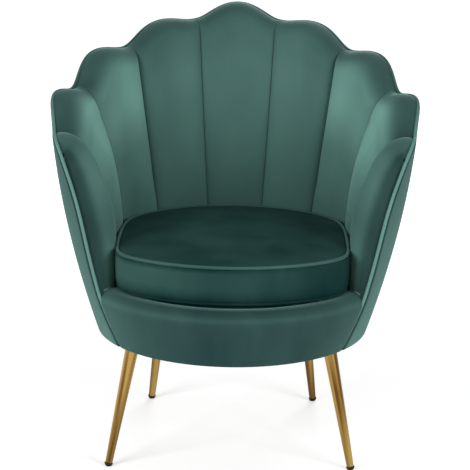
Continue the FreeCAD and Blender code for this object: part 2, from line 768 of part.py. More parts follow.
def leg_tube(foot, top):
    """Tapered round tube, cut level under its plate."""
    axis = top - foot
    axis.normalize()
    reach = (top - foot).Length
    start = foot + axis * GLIDE_HEIGHT
    taper = (LEG_TOP_RADIUS - LEG_FOOT_RADIUS) / reach
    overrun = 2 * LEG_TOP_RADIUS
    length = reach - GLIDE_HEIGHT + overrun
    end_radius = LEG_FOOT_RADIUS + taper * length
    outside = Part.makeCone(LEG_FOOT_RADIUS, end_radius, length, start, axis)
    inside = Part.makeCone(LEG_FOOT_RADIUS - LEG_WALL, end_radius - LEG_WALL, length, start, axis)
    tube = outside.cut(inside)
    size = 8 * LEG_TOP_RADIUS
    above = Part.makeBox(size, size, size, Vector(top.x - size / 2, top.y - size / 2, top.z))
    return tube.cut(above)


def leg_glide(foot, top):
    """Plastic end cap: a plug in the tube and a dome cut flat where it stands."""
    axis = top - foot
    axis.normalize()
    shoulder = foot + axis * GLIDE_HEIGHT
    plug_radius = LEG_FOOT_RADIUS - LEG_WALL - GLIDE_FIT
    plug = Part.makeCylinder(plug_radius, GLIDE_PLUG_LENGTH, shoulder, axis)
    dome_radius = LEG_FOOT_RADIUS + 1.2
    centre = shoulder - axis * 0.5
    dome = Part.makeSphere(dome_radius, centre)
    slab_size = 6 * dome_radius
    below = Part.makeCylinder(slab_size, slab_size, shoulder, axis * -1)
    dome = dome.common(below)
    ground = Part.makeBox(slab_size, slab_size, slab_size,
                          Vector(foot.x - slab_size / 2, foot.y - slab_size / 2, -slab_size))
    return plug.fuse(dome).cut(ground)


def leg_plate(top):
    half = PLATE_SIZE / 2
    plate = Part.makeBox(PLATE_SIZE, PLATE_SIZE, PLATE_THICKNESS, Vector(top.x - half, top.y - half, top.z))
    upright_edges = [e for e in plate.Edges if abs(e.tangentAt(e.FirstParameter).z) > 0.9]
    plate = plate.makeFillet(PLATE_CORNER, upright_edges)
    for p in screw_points(top):
        plate = plate.cut(Part.makeCylinder(SCREW_HOLE_RADIUS, PLATE_THICKNESS, p))
    return plate


def plate_screws():
    screws = []
    for _, _, top in leg_places():
        for p in screw_points(top):
            head = Part.makeCylinder(SCREW_HEAD_RADIUS, SCREW_HEAD_HEIGHT, p, Vector(0, 0, -1))
            shank = Part.makeCylinder(SCREW_RADIUS - 0.05, SCREW_LENGTH, p)
            screws.append(head.fuse(shank))
    return Part.makeCompound(screws)


# All pieces by name

def channel_name(channel):
    if channel == 0:
        return "centre"
    return ("left_" if channel > 0 else "right_") + str(abs(channel))


def build_parts():
    parts = {}
    parts["base_ring"] = base_ring()
    parts["seat_ring"] = seat_ring()
    parts["frame_blocks"] = frame_blocks()
    for i, notch in enumerate(NOTCH_HEIGHTS):
        for side, sign in SIDES:
            u = sign * (i + 0.5)
            parts["back_upright_" + side + "_" + str(i + 1)] = upright(u, 0, notch)
    for side, sign in SIDES:
        parts["arm_front_post_" + side] = upright(4.45 * sign, ARM_POST_INSET, ARM_EDGE_TOP - ARM_CORNER_DROP)
    for channel in range(-4, 5):
        parts["top_rail_" + channel_name(channel)] = top_rail(channel)
        parts["back_channel_" + channel_name(channel)] = channel_pad(channel)
    parts["seat_straps_long"] = seat_straps(False)
    parts["seat_straps_cross"] = seat_straps(True)
    parts["seat_deck_pad"] = seat_deck_pad()
    parts["dust_cover"] = dust_cover()
    parts["front_rail_board"] = front_rail_board()
    parts["front_rail_foam"] = front_rail_foam()
    parts["front_rail_roll"] = front_rail_roll()
    parts["front_rail_cover"] = front_rail_cover()
    parts["front_rail_deck_cloth"] = front_rail_deck_cloth()
    parts["outer_back_cover"] = outer_cover()
    parts["edge_welt"] = round_tube(welt_path(), WELT_RADIUS)
    parts["seat_cushion_cover"] = cushion_cover()
    parts["seat_cushion_foam"] = cushion_cavity(CUSHION_CLEARANCE)
    top = CUSHION_BOTTOM + CUSHION_HEIGHT - CUSHION_WELT_RADIUS
    parts["seat_cushion_top_welt"] = cushion_welt(CUSHION_TOP_DRAW_IN, top)
    bottom = CUSHION_BOTTOM + CUSHION_WELT_RADIUS
    parts["seat_cushion_bottom_welt"] = cushion_welt(CUSHION_BOTTOM_DRAW_IN, bottom)
    for name, foot, top in leg_places():
        parts["leg_" + name] = leg_tube(foot, top)
        parts["leg_glide_" + name] = leg_glide(foot, top)
        parts["leg_plate_" + name] = leg_plate(top)
    parts["leg_plate_screws"] = plate_screws()
    return parts


os.makedirs("parts", exist_ok=True)
for node, shape in build_parts().items():
    print(node, "valid" if shape.isValid() else "NOT VALID", len(shape.Solids), round(shape.Volume / 1000, 1))
    shape.exportStep("parts/" + node + ".step")
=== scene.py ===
import json
import math

import bpy
import numpy as np
from mathutils import Matrix, Vector


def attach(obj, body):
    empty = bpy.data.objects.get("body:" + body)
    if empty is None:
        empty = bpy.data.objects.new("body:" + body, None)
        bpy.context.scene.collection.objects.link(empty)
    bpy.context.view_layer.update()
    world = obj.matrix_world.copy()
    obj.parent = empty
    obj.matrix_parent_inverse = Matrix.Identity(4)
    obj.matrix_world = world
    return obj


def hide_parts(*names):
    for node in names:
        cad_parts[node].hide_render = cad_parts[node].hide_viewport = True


# Scallop back chair, in metres. The origin is on the floor under the middle of the
# chair, +Z is up, the seat opens towards -Y and +X is the sitter's left.
# A channel coordinate u is 0 in the middle of the back and positive on the sitter's left.
# Its seams are at odd halves: the last one is ARM_SEAM, and an arm's front edge is ARM_EDGE.
ARM_SEAM = 3.5
ARM_EDGE = 4.5

# Body shell
BODY_CENTRE_Y = -0.045
BODY_BOTTOM = 0.243
BOTTOM_HALF_WIDTH = 0.267
BOTTOM_REAR_DEPTH = 0.288
BOTTOM_FRONT_DEPTH = 0.287
ARM_TOP_LEVEL = 0.690
ARM_TOP_HALF_WIDTH = 0.361
ARM_TOP_FRONT_DEPTH = 0.304
BACK_TOP_LEVEL = 0.840
BACK_TOP_DEPTH = 0.385
BACK_TOP_SQUARENESS = 1.88
SIDE_FLARE_CURVE = 0.65
REAR_FLARE_CURVE = 0.9

# Scalloped rim
CREST_HEIGHTS = (0.840, 0.803, 0.753, 0.690)
NOTCH_HEIGHTS = (0.806, 0.758, 0.694, 0.629)
NOTCH_ANGLES_AT_RIM = (14.2, 40.5, 69.0, 95.0)
NOTCH_ANGLES_AT_BOTTOM = (10.5, 31.5, 53.0, 79.0)
NOTCH_SOFTNESS = 0.5
PLAN_SCALLOP = 0.006
ARM_NOTCH_SCALLOP = 0.3

# Front edge of each arm
ARM_EDGE_Y = -0.190
ARM_EDGE_FOOT_REACH = 0.028
ARM_EDGE_FOOT_LEVEL = 0.341
ARM_EDGE_TOP_SETBACK = 0.065
ARM_EDGE_BEND_LEVEL = 0.430
ARM_EDGE_TOP = 0.616
ARM_CREST_RISE = 0.007
ARM_CORNER_DROP = 0.016
ARM_CORNER_SHARE = 0.15

# Channels
SEAT_LEVEL = 0.331
SWELL_LEVELS = (0.330, 0.380, 0.421, 0.500, 0.640, 0.840)
CHANNEL_SWELL = (0.004, 0.010, 0.015, 0.023, 0.025, 0.022)
MIDDLE_SWELL_SHARE = 0.6
RIM_WALL = 0.066
SIDE_RIM_WALL = 0.076
BACK_LEAN_CURVE = 1.0
ARM_LEAN_CURVE = 2.2
SEAM_GAP = 0.0015
CREST_ROUND_HEIGHT = 0.030
SIDE_CREST_ROUND_HEIGHT = 0.062
CREST_MIDDLE_DEPTH = 0.020
CREST_WRAP_ANGLE = 118.0
PAD_BACK_DEPTH = 0.026
PAD_EDGE_DEPTH = 0.0074
PAD_EDGE_THICKNESS = 0.002
PAD_BACK_DROP = 0.008
ARM_FRONT_ROUND = 0.28
ARM_FRONT_ROUND_LOW = 0.16
ARM_FRONT_TURN = 84
FRONT_ROUND_LEVELS = (0.400, 0.540)

# Welt, cover and rail
WELT_RADIUS = 0.0032
WELT_DEPTH = 0.0040
WELT_GAP = 0.0004
WELT_SMOOTHING = 4
COVER_THICKNESS = 0.003
RAIL_TOP = 0.3435
RAIL_ROUND = 0.030
RAIL_TOP_DEPTH = 0.056
RAIL_END_GAP = 0.0066
RAIL_END_ROUND = 0.035
RAIL_END_DROP = 0.0055
RAIL_TUCK = 0.030
RAIL_TUCK_DEPTH = 0.012
RAIL_DECK_DROP = 0.0035
CORNER_SEAM_RADIUS = 0.0012
CORNER_SEAM_START = 0.006

# Seat cushion
CUSHION_BOTTOM = 0.345
CUSHION_HEIGHT = 0.076
CUSHION_CROWN = 0.013
CUSHION_ROUND_HALF_WIDTH = 0.262
CUSHION_FRONT_WIDENING = 0.018
CUSHION_REAR_DEPTH = 0.278
CUSHION_FRONT_DEPTH = 0.241
CUSHION_SIDE_REACH = 0.2295
CUSHION_SIDE_SHARPNESS = 16.0
CUSHION_SIDE_GAP = 0.0008
CUSHION_TOP_DRAW_IN = 0.0038
CUSHION_BOTTOM_DRAW_IN = 0.0045
CUSHION_WELT_RADIUS = 0.003
CUSHION_COVER_INSET = 0.001
CUSHION_EDGE_RISE = 0.002
BOXING_BULGE = 0.0095
UNDERSIDE_INSETS = (0.225, 0.12, 0.05)

# Cloth simulation of the cushion
CLOTH_VOXEL = 0.005
CLOTH_PRESSURE = 4.0
CLOTH_REACH = 0.006
CLOTH_FRAMES = 20
CORD_HOLD = 0.004
CORD_HOLD_INSET = 0.012

# Platform under the cushion
PLATFORM_LEVELS = (0.330, 0.340)
PLATFORM_MARGIN = 0.004
PLATFORM_ROUND = 0.004
PLATFORM_ROUND_SHARE = 0.03
PLATFORM_GAP = 0.0015

# How many points the meshes have along their rows, columns, paths and rounded edges
PAD_RISE_POINTS = 46
PAD_WRAP_POINTS = 19
PAD_COLUMNS = 31
ARM_PAD_COLUMNS = 20
ARM_FRONT_COLUMNS = 14
COVER_COLUMNS = 325
COVER_ROWS = 60
WELT_RIM_POINTS = 361
WELT_EDGE_POINTS = 60
WELT_POINTS = 520
TUBE_SIDES = 12
SEAM_SIDES = 8
SEAM_POINTS = 40
RAIL_COLUMNS = 161
RAIL_FACE_POINTS = 26
RAIL_ROUND_POINTS = 16
RAIL_DECK_POINTS = 8
CUSHION_COLUMNS = 160
BOXING_POINTS = 13
CROWN_POINTS = 15
CORD_POINTS = 240
PLATFORM_COLUMNS = 144
PLATFORM_ROUND_POINTS = 6

# Velvet colours, from shaded to lit. The painted light of each point, from 0 to 1, picks its colour
# between them: light and shade painted into the velvet.
VELVET_DARK = (0.007, 0.030, 0.030)
# The seat's darker dark colour is painted shade on the seat cushion; the platform cloth has it too,
# partly as its own dark colour and partly as painted shade.
SHADED_SEAT_DARK = (0.003, 0.024, 0.023)
VELVET_LIGHT = (0.185, 0.385, 0.335)
PATCH_CONTRAST = 0.22

# Painted light and shade of channels 0 to 4 at shares of their height, and how far the painted shade
# darkens from seam to seam
PAINTED_LIGHT_LEVELS = (0.15, 0.50, 0.78, 0.90, 1.0)
PAD_PAINTED_LIGHT = ((0.27, 0.29, 0.32, 0.27, 0.18),
           (0.27, 0.30, 0.36, 0.30, 0.18),
           (0.24, 0.40, 0.80, 0.70, 0.15),
           (0.32, 0.64, 1.00, 1.00, 0.15),
           (0.70, 0.42, 0.56, 0.52, 0.28))
PAD_PAINTED_LIGHT_TURN = (0.0, 0.1, 0.20, 0.50, 0.40)

# Painted light and shade of the other pieces: painted shade in creases and on the seat, painted
# highlights on the welt, the rail's rolled top and the seams
EDGE_SHADE_WIDTH = 0.05
EDGE_SHADE_LEAST = 0.25
COVER_PAINTED_LIGHT = 0.23
COVER_PAINTED_LIGHT_FORWARD = 0.22
COVER_PAINTED_LIGHT_MEAN = 0.70
COVER_PAINTED_LIGHT_LOW = 0.40
WELT_PAINTED_LIGHT_BACK = 0.20
WELT_PAINTED_LIGHT_FRONT = 0.62
WELT_PAINTED_LIGHT_START_Y = 0.05
WELT_PAINTED_LIGHT_SPAN = 0.15
RAIL_PAINTED_LIGHT_MIDDLE = 0.05
RAIL_PAINTED_LIGHT_END = 0.20
RAIL_PAINTED_HIGHLIGHT_ROLL = 0.06
RAIL_ROLL_HIGHLIGHT_LEVEL = 0.330
RAIL_ROLL_HIGHLIGHT_WIDTH = 0.005
RAIL_SHADE_WIDTH = 0.03
SEAM_PAINTED_HIGHLIGHT = 0.9
BOXING_PAINTED_LIGHT = 0.08
BOXING_PAINTED_LIGHT_SLOPE = 0.42
CUSHION_TOP_PAINTED_LIGHT = 0.06
TOP_CORD_PAINTED_LIGHT = 0.18
PLATFORM_PAINTED_LIGHT = 0.05

# Camera, matched to the photograph's 470 pixel frame
PHOTO_SIZE = 470.0
CAMERA_PLACE = (0.0326, -3.378, 1.248)
CAMERA_FOCAL_PIXELS = 1741.0
CAMERA_PITCH = 13.91
CAMERA_YAW = -0.50
CAMERA_ROLL = 0.75
SENSOR_WIDTH = 36.0

# Studio
WORLD_LIGHT = 0.30
FLOOR_GLOW = 0.44
FLOOR_FAR_GLOW = 0.82
FLOOR_NEAR = 1.0
FLOOR_FAR = 3.0
FLOOR_REACH = 14.0
LAMP_SIZE = 1.6
LAMP_TARGET = (0, 0, 0.5)
LAMPS = (("left_softbox", (-2.3, -2.4, 1.5), 75),
         ("right_softbox", (2.3, -2.4, 1.5), 65),
         ("rear_softbox", (0.6, 3.0, 2.0), 45))

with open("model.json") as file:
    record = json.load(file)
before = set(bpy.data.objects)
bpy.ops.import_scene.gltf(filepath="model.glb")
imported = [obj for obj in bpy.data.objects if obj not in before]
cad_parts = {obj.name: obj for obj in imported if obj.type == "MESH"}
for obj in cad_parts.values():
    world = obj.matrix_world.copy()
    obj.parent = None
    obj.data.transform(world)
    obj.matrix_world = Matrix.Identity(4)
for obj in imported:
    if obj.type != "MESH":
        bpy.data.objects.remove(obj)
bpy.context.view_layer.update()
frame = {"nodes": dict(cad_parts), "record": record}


# Curves of the body, on arrays

def blend(first, last, share):
    return first + (last - first) * share


def ease(share):
    """Share from 0 to 1, with a soft start and end."""
    share = np.clip(share, 0, 1)
    return share * share * (3 - 2 * share)


def along(levels, values, z):
    """Value at height z, joined smoothly between the given levels."""
    z = np.asarray(z, float)
    out = np.full(z.shape, values[0], float)
    for low, high, first, last in zip(levels, levels[1:], values, values[1:]):
        out = np.where(z > low, blend(first, last, ease((z - low) / (high - low))), out)
    return out


def full_turn(count):
    """Angles round the middle line, without the last one, which is the first."""
    return np.linspace(0, 360, count + 1)[:-1]


def flare(share, curve):
    return share * (1 + curve * (1 - share))


def body_radius(angle, z):
    """Distance from the middle line to the outer face of the body."""
    side = flare((z - BODY_BOTTOM) / (ARM_TOP_LEVEL - BODY_BOTTOM), SIDE_FLARE_CURVE)
    rear_share = (z - BODY_BOTTOM) / (BACK_TOP_LEVEL - BODY_BOTTOM)
    rear = flare(rear_share, REAR_FLARE_CURVE)
    half_width = blend(BOTTOM_HALF_WIDTH, ARM_TOP_HALF_WIDTH, side)
    sine = np.abs(np.sin(np.radians(angle)))
    cosine = np.cos(np.radians(angle))
    behind = cosine >= 0
    depth = np.where(behind, blend(BOTTOM_REAR_DEPTH, BACK_TOP_DEPTH, rear),
                     blend(BOTTOM_FRONT_DEPTH, ARM_TOP_FRONT_DEPTH, side))
    power = np.where(behind, blend(2.0, BACK_TOP_SQUARENESS, rear_share), 2.0)
    return ((sine / half_width) ** power + (np.abs(cosine) / depth) ** power) ** (-1 / power)


def plan_point(angle, radius, z):
    turn = np.radians(angle)
    x = radius * np.sin(turn)
    y = BODY_CENTRE_Y + radius * np.cos(turn)
    return np.stack([x, y, np.broadcast_to(z, x.shape)], -1)


def notch_value(values, u):
    """Value on the line through the notches, at channel coordinate u of one side."""
    return np.interp(u, [-0.5, 0.5, 1.5, 2.5, ARM_SEAM], (-values[0],) + tuple(values))


def scallop(u):
    wave = np.abs(np.cos(math.pi * u))
    soft = NOTCH_SOFTNESS
    return (np.hypot(wave, soft) - soft) / (math.hypot(1, soft) - soft)


def crest_z(u):
    """Height of the rim."""
    u = np.abs(np.asarray(u, float))
    channel = np.clip((u + 0.5).astype(int), 0, 3)
    crest = np.array(CREST_HEIGHTS)[channel]
    lows = np.array((NOTCH_HEIGHTS[0],) + NOTCH_HEIGHTS)
    before = lows[channel]
    after = lows[channel + 1]
    line = blend(before, after, u - channel + 0.5)
    back = line + (crest - (before + after) / 2) * scallop(u)
    share = np.clip(u - ARM_SEAM, 0, 1)
    corner = np.maximum(share - 1 + ARM_CORNER_SHARE, 0) / ARM_CORNER_SHARE
    arm = blend(NOTCH_HEIGHTS[3], ARM_EDGE_TOP, share)
    arm = arm + ARM_CREST_RISE * np.sin(math.pi * share)
    return np.where(u <= ARM_SEAM, back, arm - ARM_CORNER_DROP * corner ** 2)


def arm_edge_angle(z):
    """Plan angle of the arm's front edge at height z."""
    z = np.minimum(z, ARM_EDGE_TOP)
    low = np.clip((ARM_EDGE_FOOT_LEVEL - z) / (ARM_EDGE_FOOT_LEVEL - BODY_BOTTOM), 0, None)
    high = np.clip((z - ARM_EDGE_BEND_LEVEL) / (ARM_EDGE_TOP - ARM_EDGE_BEND_LEVEL), 0, None)
    y = ARM_EDGE_Y - ARM_EDGE_FOOT_REACH * low ** 1.5 + ARM_EDGE_TOP_SETBACK * high ** 3
    reach = BODY_CENTRE_Y - y
    angle = np.full(np.shape(z), 120.0)
    for _ in range(14):
        angle = 180 - np.degrees(np.arccos(np.minimum(reach / body_radius(angle, z), 1.0)))
    return angle


def line_angle(u, z):
    """Plan angle of channel line u at height z."""
    a = np.abs(u)
    inner = np.minimum(a, ARM_SEAM)
    share = (z - BODY_BOTTOM) / (crest_z(inner) - BODY_BOTTOM)
    angle = blend(notch_value(NOTCH_ANGLES_AT_BOTTOM, inner),
                  notch_value(NOTCH_ANGLES_AT_RIM, inner), share)
    angle = np.where(a > ARM_SEAM, blend(angle, arm_edge_angle(z), a - ARM_SEAM), angle)
    return np.where(u < 0, -angle, angle)


def plan_scallop(a):
    wave = np.cos(2 * math.pi * a)
    fading = wave * blend(1, ARM_NOTCH_SCALLOP, 2 * (a - 3))
    arm = -ARM_NOTCH_SCALLOP * (ARM_EDGE - a)
    return np.where(a <= 3, wave, np.where(a <= ARM_SEAM, fading, arm))


def wall_point(u, z, depth):
    """Point of the wall, depth inside the outer face."""
    u, z, depth = np.broadcast_arrays(np.asarray(u, float), z, depth)
    angle = line_angle(u, z)
    share = np.clip((z - BODY_BOTTOM) / (crest_z(u) - BODY_BOTTOM), 0, None)
    swell = PLAN_SCALLOP * plan_scallop(np.abs(u)) * share ** 4
    return plan_point(angle, body_radius(angle, z) + swell - depth, z)


def cushion_radius(angle, inset):
    """Plan radius of the cushion, drawn in by inset."""
    sine = np.abs(np.sin(np.radians(angle)))
    cosine = np.cos(np.radians(angle))
    depth = np.where(cosine >= 0, CUSHION_REAR_DEPTH, CUSHION_FRONT_DEPTH)
    forward = np.clip(-2 * cosine, 0, 1)
    half_width = CUSHION_ROUND_HALF_WIDTH + CUSHION_FRONT_WIDENING * forward ** 2
    round_radius = 1 / np.hypot(sine / (half_width - inset), cosine / (depth - inset))
    side_radius = (CUSHION_SIDE_REACH - inset) / np.maximum(sine, 0.1)
    sharp = CUSHION_SIDE_SHARPNESS
    return (round_radius ** -sharp + side_radius ** -sharp) ** (-1 / sharp)


def front_share(u, z):
    """1 over the arm's inner face, falling to 0 round its front edge, fuller beside the cushion."""
    rounding = along(FRONT_ROUND_LEVELS, (ARM_FRONT_ROUND_LOW, ARM_FRONT_ROUND), z)
    past = np.clip((np.abs(u) - ARM_EDGE + rounding) / rounding, 0, 1)
    return np.sqrt(1 - past * past)


def puff(u):
    """Bulge across a channel: 0 in the seams, round and full between them."""
    a = np.abs(u)
    back = 2 * np.abs(a - np.round(a))
    arm = 1 - 2 * np.clip(a - ARM_SEAM, 0, 0.5)
    across = np.where(a <= ARM_SEAM, back, arm)
    return (1 - across ** 3.0) ** 0.55


def sideways(u):
    """0 on the three middle channels, rising to 1 on the arms."""
    return ease((np.abs(u) - 1.6) / 1.4)


def crest_round(u):
    return blend(CREST_ROUND_HEIGHT, SIDE_CREST_ROUND_HEIGHT, sideways(u))


def wall_depth(u, z):
    """Depth of the channels' face. It hugs the cushion and leans outwards above it."""
    angle = line_angle(u, z)
    shoulder = crest_z(u) - crest_round(u)
    top_edge = CUSHION_BOTTOM + CUSHION_HEIGHT
    share = np.clip((z - top_edge) / (shoulder - top_edge), 0, 1)
    lean = blend(BACK_LEAN_CURVE, ARM_LEAN_CURVE, np.sin(np.radians(angle)) ** 2)
    seat = cushion_radius(angle, 0) + CUSHION_SIDE_GAP
    rim = body_radius(angle, shoulder) - blend(RIM_WALL, SIDE_RIM_WALL, sideways(u))
    flat = blend(MIDDLE_SWELL_SHARE, 1, np.clip(np.abs(u) - 0.6, 0, 1))
    recess = along(SWELL_LEVELS, CHANNEL_SWELL, z) * flat * (1 - puff(u))
    full = body_radius(angle, z) - blend(seat, rim, share ** lean) - recess
    return blend(PAD_EDGE_DEPTH + PAD_EDGE_THICKNESS, full, front_share(u, z))


# Mesh builders

def new_object(name, vertices, faces, material, painted_light=0.5):
    """Mesh object with the painted light and shade of each vertex, or one for all."""
    mesh = bpy.data.meshes.new(name)
    mesh.from_pydata([tuple(v) for v in vertices], [], faces)
    mesh.validate()
    mesh.update()
    for polygon in mesh.polygons:
        polygon.use_smooth = True
    mesh.materials.append(material)
    values = np.broadcast_to(np.asarray(painted_light, np.float32).reshape(-1), (len(mesh.vertices),))
    mesh.attributes.new("painted_light", "FLOAT", "POINT").data.foreach_set("value", values.copy())
    obj = bpy.data.objects.new(name, mesh)
    bpy.context.scene.collection.objects.link(obj)
    return obj


def vertex_points(mesh):
    points = np.empty(len(mesh.vertices) * 3, np.float32)
    mesh.vertices.foreach_get("co", points)
    return points.reshape(-1, 3)


def grid_faces(rows, columns, offset=0, flip=False, wrap=False):
    faces = []
    for i in range(rows if wrap else rows - 1):
        for j in range(columns - 1):
            a = offset + i * columns + j
            b = offset + ((i + 1) % rows) * columns + j
            quad = (a, b, b + 1, a + 1)
            faces.append(quad[::-1] if flip else quad)
    return faces


def closed_slab(name, front, back, material, painted_light):
    """Closed piece between two grids of points with the same layout."""
    rows, columns = front.shape[:2]
    count = rows * columns
    faces = grid_faces(rows, columns) + grid_faces(rows, columns, count, flip=True)
    border = [i * columns for i in range(rows)]
    border += [(rows - 1) * columns + j for j in range(1, columns)]
    border += [i * columns + columns - 1 for i in range(rows - 2, -1, -1)]
    border += [j for j in range(columns - 2, 0, -1)]
    for a, b in zip(border, border[1:] + border[:1]):
        faces.append((b, a, a + count, b + count))
    vertices = np.concatenate([front.reshape(-1, 3), back.reshape(-1, 3)])
    face_painted_light = np.broadcast_to(painted_light, front.shape[:2]).reshape(-1)
    obj = new_object(name, vertices, faces, material, np.concatenate([face_painted_light, face_painted_light]))
    fix_normals(obj)
    return obj


def closed_round(name, rings, material, painted_light=0.5):
    """Closed piece through rings of points, from a small ring under it to a small ring on top."""
    points = np.stack(rings, 1)
    turns, count = points.shape[:2]
    faces = grid_faces(turns, count, wrap=True)
    faces.append(tuple(i * count for i in range(turns)))
    faces.append(tuple(i * count + count - 1 for i in range(turns))[::-1])
    obj = new_object(name, points.reshape(-1, 3), faces, material, painted_light)
    fix_normals(obj)
    return obj


def fix_normals(obj):
    bpy.context.view_layer.objects.active = obj
    obj.select_set(True)
    bpy.ops.object.mode_set(mode="EDIT")
    bpy.ops.mesh.select_all(action="SELECT")
    bpy.ops.mesh.normals_make_consistent(inside=False)
    bpy.ops.object.mode_set(mode="OBJECT")
    obj.select_set(False)


def tube(name, path, radius, material, painted_light, closed=False, sides=TUBE_SIDES):
    """Round tube along a path of points."""
    path = np.asarray(path, float)
    count = len(path)
    if closed:
        run = np.roll(path, -1, 0) - np.roll(path, 1, 0)
    else:
        run = np.gradient(path, axis=0)
    run /= np.linalg.norm(run, axis=1, keepdims=True)
    radial = path - np.array([0, BODY_CENTRE_Y, 0])
    radial[:, 2] = 0
    across = np.cross(run, radial)
    across /= np.linalg.norm(across, axis=1, keepdims=True)
    outward = np.cross(across, run)
    turns = np.arange(sides) * 2 * math.pi / sides
    ring = (across[:, None] * np.cos(turns)[None, :, None]
            + outward[:, None] * np.sin(turns)[None, :, None])
    points = path[:, None] + radius * ring
    faces = []
    for i in range(count if closed else count - 1):
        for j in range(sides):
            a = i * sides + j
            b = i * sides + (j + 1) % sides
            c = ((i + 1) % count) * sides + (j + 1) % sides
            d = ((i + 1) % count) * sides + j
            faces.append((a, b, c, d))
    if not closed:
        faces.append(tuple(range(sides))[::-1])
        faces.append(tuple((count - 1) * sides + j for j in range(sides)))
    obj = new_object(name, points.reshape(-1, 3), faces, material, painted_light)
    fix_normals(obj)
    return obj


# Materials

def base_material(name, colour, roughness, metallic=0.0):
    material = bpy.data.materials.new(name)
    material.use_nodes = True
    shader = material.node_tree.nodes["Principled BSDF"]
    shader.inputs["Base Color"].default_value = (*colour, 1)
    shader.inputs["Roughness"].default_value = roughness
    shader.inputs["Metallic"].default_value = metallic
    material.diffuse_color = (*colour, 1)
    return material, material.node_tree.nodes, material.node_tree.links, shader


def math_node(nodes, links, operation, *values, clamp=False):
    """Math node over sockets and plain numbers."""
    node = nodes.new("ShaderNodeMath")
    node.operation = operation
    node.use_clamp = clamp
    for number, value in enumerate(values):
        if isinstance(value, float):
            node.inputs[number].default_value = value
        else:
            links.new(value, node.inputs[number])
    return node.outputs[0]


def noise(nodes, links, scale, detail, stretch=None):
    """Noise texture in the object's own coordinates."""
    place = nodes.new("ShaderNodeTexCoord")
    texture = nodes.new("ShaderNodeTexNoise")
    texture.inputs["Scale"].default_value = scale
    texture.inputs["Detail"].default_value = detail
    if stretch:
        mapping = nodes.new("ShaderNodeMapping")
        mapping.inputs["Scale"].default_value = stretch
        links.new(place.outputs["Object"], mapping.inputs["Vector"])
        links.new(mapping.outputs["Vector"], texture.inputs["Vector"])
    else:
        links.new(place.outputs["Object"], texture.inputs["Vector"])
    return texture.outputs["Fac"]


def ramp(nodes, links, value, low, high, first, last):
    """Colour ramp from first to last as value goes from low to high."""
    node = nodes.new("ShaderNodeValToRGB")
    node.color_ramp.elements[0].position = low
    node.color_ramp.elements[0].color = (*first, 1)
    node.color_ramp.elements[1].position = high
    node.color_ramp.elements[1].color = (*last, 1)
    links.new(value, node.inputs["Fac"])
    return node.outputs["Color"]


def bump(nodes, links, shader, value, strength, distance, under=None):
    node = nodes.new("ShaderNodeBump")
    node.inputs["Strength"].default_value = strength
    node.inputs["Distance"].default_value = distance
    links.new(value, node.inputs["Height"])
    if under:
        links.new(under, node.inputs["Normal"])
    links.new(node.outputs["Normal"], shader.inputs["Normal"])
    return node.outputs["Normal"]


def velvet(name, dark, sheen, gloss):
    """Short pile velvet: light and shade painted into its colour, tone that differs at random, a fine
    pile and a soft sheen.
    """
    material, nodes, links, shader = base_material(name, dark, 0.8)
    painted_light = nodes.new("ShaderNodeAttribute")
    painted_light.attribute_name = "painted_light"
    patches = noise(nodes, links, 9.0, 6.0, (1.0, 1.0, 0.5))
    shift = math_node(nodes, links, "MULTIPLY_ADD", patches, PATCH_CONTRAST, -PATCH_CONTRAST / 2)
    # The painted light, with tone that differs at random, picks the base colour from dark to light:
    # painted light and shade.
    total = math_node(nodes, links, "ADD", painted_light.outputs["Fac"], shift, clamp=True)
    links.new(ramp(nodes, links, total, 0.0, 1.0, dark, VELVET_LIGHT), shader.inputs["Base Color"])
    shader.inputs["Sheen Weight"].default_value = sheen
    shader.inputs["Sheen Roughness"].default_value = 0.30
    shader.inputs["Sheen Tint"].default_value = (0.45, 0.85, 0.78, 1)
    shader.inputs["Specular IOR Level"].default_value = gloss
    pile = noise(nodes, links, 1100.0, 2.0)
    fine = bump(nodes, links, shader, pile, 0.5, 0.0006)
    brushed = noise(nodes, links, 60.0, 4.0, (1.0, 1.0, 0.35))
    bump(nodes, links, shader, brushed, 0.16, 0.002, fine)
    return material


def gold(name, lean):
    """Brushed gold metal. Its streaks run along a leg that leans by lean, x and y per height."""
    material, nodes, links, shader = base_material(name, (0.42, 0.27, 0.08), 0.24, 1.0)
    place = nodes.new("ShaderNodeTexCoord")
    split = nodes.new("ShaderNodeSeparateXYZ")
    links.new(place.outputs["Object"], split.inputs[0])
    straighten = nodes.new("ShaderNodeVectorMath")
    straighten.operation = "MULTIPLY_ADD"
    straighten.inputs[1].default_value = (-lean[0], -lean[1], -0.98)
    links.new(split.outputs["Z"], straighten.inputs[0])
    links.new(place.outputs["Object"], straighten.inputs[2])
    streaks = []
    for scale in (95.0, 900.0):
        texture = nodes.new("ShaderNodeTexNoise")
        texture.inputs["Scale"].default_value = scale
        texture.inputs["Detail"].default_value = 1.0
        links.new(straighten.outputs[0], texture.inputs["Vector"])
        streaks.append(texture.outputs["Fac"])
    tone = ramp(nodes, links, streaks[0], 0.40, 0.60, (0.12, 0.060, 0.015), (0.41, 0.260, 0.072))
    links.new(tone, shader.inputs["Base Color"])
    bump(nodes, links, shader, streaks[1], 0.10, 0.0004)
    return material


def leg_lean(node):
    """How far a leg leans per unit of height, from the two ends of its CAD solid."""
    points = vertex_points(frame["nodes"][node].data).astype(float)
    low = points[points[:, 2] < points[:, 2].min() + 0.003].mean(0)
    high = points[points[:, 2] > points[:, 2].max() - 0.003].mean(0)
    run = high - low
    return run[0] / run[2], run[1] / run[2]


def plain(name, first, last, roughness, scale, stretch=None, strength=0.2, metallic=0.0,
          gloss=0.5):
    """Two-tone material with a grain or a moulded surface."""
    material, nodes, links, shader = base_material(name, first, roughness, metallic)
    shader.inputs["Specular IOR Level"].default_value = gloss
    tone = noise(nodes, links, scale, 4.0, stretch)
    links.new(ramp(nodes, links, tone, 0.3, 0.7, first, last), shader.inputs["Base Color"])
    bump(nodes, links, shader, noise(nodes, links, scale * 6, 3.0, stretch), strength, 0.0008)
    return material


